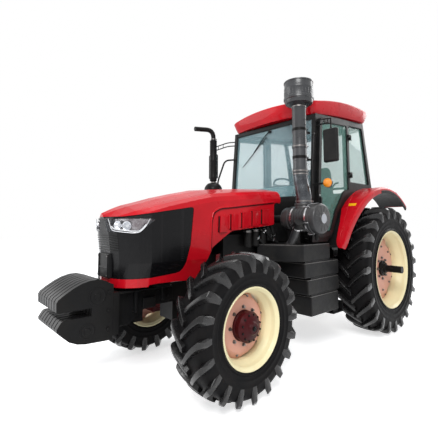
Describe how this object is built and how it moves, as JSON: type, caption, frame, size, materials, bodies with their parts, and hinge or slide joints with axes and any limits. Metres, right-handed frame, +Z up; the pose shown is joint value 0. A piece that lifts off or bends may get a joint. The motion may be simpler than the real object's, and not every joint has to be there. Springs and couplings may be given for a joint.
{
  "type": "farm tractor",
  "caption": "Four-wheel-drive farm tractor with a closed cab, opening doors and bonnet, steered front wheels, front weights and a rear three-point linkage.",
  "frame": {"origin": "centre of the bounding box on the ground plane", "axes": "+Z up, the tractor faces -Y, its left side is +X"},
  "size_m": [2.2, 5.067, 3.085],
  "materials": {
    "red_paint": "glossy red body paint",
    "black_gloss": "glossy black grille panels",
    "black_plastic": "grained black plastic",
    "black_metal": "satin black paint on steel",
    "dark_cast": "dark painted castings",
    "hub_red": "dark maroon paint on castings",
    "rim_cream": "cream paint on pressed steel",
    "tyre_rubber": "black tractor tyre rubber",
    "clear_glass": "green tinted safety glass",
    "lamp_lens": "clear lamp lens",
    "seat_fabric": "dark grey seat cloth",
    "bright_steel": "bright machined steel"
  },
  "bodies": {
    "chassis": {"front_support": "black_metal", "front_weights": "black_metal", "engine": "dark_cast", "radiator": "black_metal", "transmission": "dark_cast", "rear_axle_housing": "dark_cast", "front_axle_beam": "hub_red", "air_cleaner": "black_plastic", "intake_stack": "black_metal", "fuel_tank": "black_plastic", "battery_box": "black_plastic", "cab_tub": "black_plastic", "cab_frame": "black_plastic", "windscreen": "clear_glass", "rear_window": "clear_glass", "quarter_glass_left": "clear_glass", "quarter_glass_right": "clear_glass", "roof": "red_paint", "fender_left": "red_paint", "fender_right": "red_paint", "seat": "seat_fabric", "dash": "black_plastic", "mirror_left": "black_plastic", "mirror_right": "black_plastic"},
    "left_knuckle": {"knuckle_left": "hub_red"},
    "right_knuckle": {"knuckle_right": "hub_red"},
    "steering_link": {"steering_rod": "bright_steel"},
    "left_front_wheel": {"front_rim_left": "rim_cream", "front_tyre_left": "tyre_rubber", "front_hub_left": "hub_red"},
    "right_front_wheel": {"front_rim_right": "rim_cream", "front_tyre_right": "tyre_rubber", "front_hub_right": "hub_red"},
    "left_rear_wheel": {"rear_rim_left": "rim_cream", "rear_tyre_left": "tyre_rubber", "rear_axle_bar_left": "black_metal"},
    "right_rear_wheel": {"rear_rim_right": "rim_cream", "rear_tyre_right": "tyre_rubber", "rear_axle_bar_right": "black_metal"},
    "hood": {"bonnet": "red_paint", "grille": "black_gloss", "headlamp_left": "lamp_lens", "headlamp_right": "lamp_lens", "exhaust": "black_metal"},
    "left_door": {"door_left": "black_plastic", "door_glass_left": "clear_glass"},
    "right_door": {"door_right": "black_plastic", "door_glass_right": "clear_glass"},
    "driver_wheel": {"steering_wheel": "black_plastic"},
    "rocker": {"lift_arms": "black_metal"},
    "lift_rods": {"lift_rod_left": "black_metal", "lift_rod_right": "black_metal"},
    "lower_links": {"lower_link_left": "black_metal", "lower_link_right": "black_metal"},
    "upper_link": {"top_link": "black_metal"}
  },
  "joints": [
    {"name": "steer_left", "type": "hinge", "parent": "chassis", "child": "left_knuckle", "pos_m": [0.64, -1.242, 0.6], "axis": [0, 0, 1], "range_deg": [-32, 32]},
    {"name": "steer_right", "type": "hinge", "parent": "chassis", "child": "right_knuckle", "pos_m": [-0.64, -1.242, 0.6], "axis": [0, 0, 1], "range_deg": [-32, 32]},
    {"name": "steering_rod_slide", "type": "slide", "parent": "chassis", "child": "steering_link", "axis": [-1, 0, 0], "range_m": [-0.09, 0.09]},
    {"name": "front_left_spin", "type": "hinge", "parent": "left_knuckle", "child": "left_front_wheel", "pos_m": [0.8, -1.242, 0.6], "axis": [1, 0, 0], "continuous": true},
    {"name": "front_right_spin", "type": "hinge", "parent": "right_knuckle", "child": "right_front_wheel", "pos_m": [-0.8, -1.242, 0.6], "axis": [1, 0, 0], "continuous": true},
    {"name": "rear_left_spin", "type": "hinge", "parent": "chassis", "child": "left_rear_wheel", "pos_m": [0.78, 1.458, 0.832], "axis": [1, 0, 0], "continuous": true},
    {"name": "rear_right_spin", "type": "hinge", "parent": "chassis", "child": "right_rear_wheel", "pos_m": [-0.78, 1.458, 0.832], "axis": [1, 0, 0], "continuous": true},
    {"name": "bonnet_hinge", "type": "hinge", "parent": "chassis", "child": "hood", "pos_m": [0, -0.242, 1.78], "axis": [-1, 0, 0], "range_deg": [0, 40]},
    {"name": "left_door_hinge", "type": "hinge", "parent": "chassis", "child": "left_door", "pos_m": [0.74, 0.883, 1.9], "axis": [0, 0, 1], "range_deg": [0, 70]},
    {"name": "right_door_hinge", "type": "hinge", "parent": "chassis", "child": "right_door", "pos_m": [-0.74, 0.883, 1.9], "axis": [0, 0, -1], "range_deg": [0, 70]},
    {"name": "steering_wheel_turn", "type": "hinge", "parent": "chassis", "child": "driver_wheel", "pos_m": [0, 0.478, 1.93], "axis": [0, 0.5736, 0.8192], "range_deg": [-390, 390]},
    {"name": "lift_arm_swing", "type": "hinge", "parent": "chassis", "child": "rocker", "pos_m": [0, 1.598, 1.17], "axis": [1, 0, 0], "range_deg": [-8, 45]},
    {"name": "lift_rod_swing", "type": "hinge", "parent": "rocker", "child": "lift_rods", "pos_m": [0, 1.898, 1.2], "axis": [1, 0, 0], "range_deg": [-60, 20]},
    {"name": "lower_link_swing", "type": "hinge", "parent": "chassis", "child": "lower_links", "pos_m": [0, 1.618, 0.56], "axis": [1, 0, 0], "range_deg": [-10, 40]},
    {"name": "top_link_swing", "type": "hinge", "parent": "chassis", "child": "upper_link", "pos_m": [0, 1.778, 1], "axis": [-1, 0, 0], "range_deg": [0, 100]}
  ],
  "couplings": [
    {"joint": "steer_right", "follows": "steer_left", "ratio": 1},
    {"joint": "steering_rod_slide", "follows": "steer_left", "m_per_rad": 0.142},
    {"joint": "steering_wheel_turn", "follows": "steer_left", "ratio": 12},
    {"joint": "lower_link_swing", "follows": "lift_arm_swing", "ratio": 0.6},
    {"joint": "lift_rod_swing", "follows": "lift_arm_swing", "ratio": -1}
  ]
}
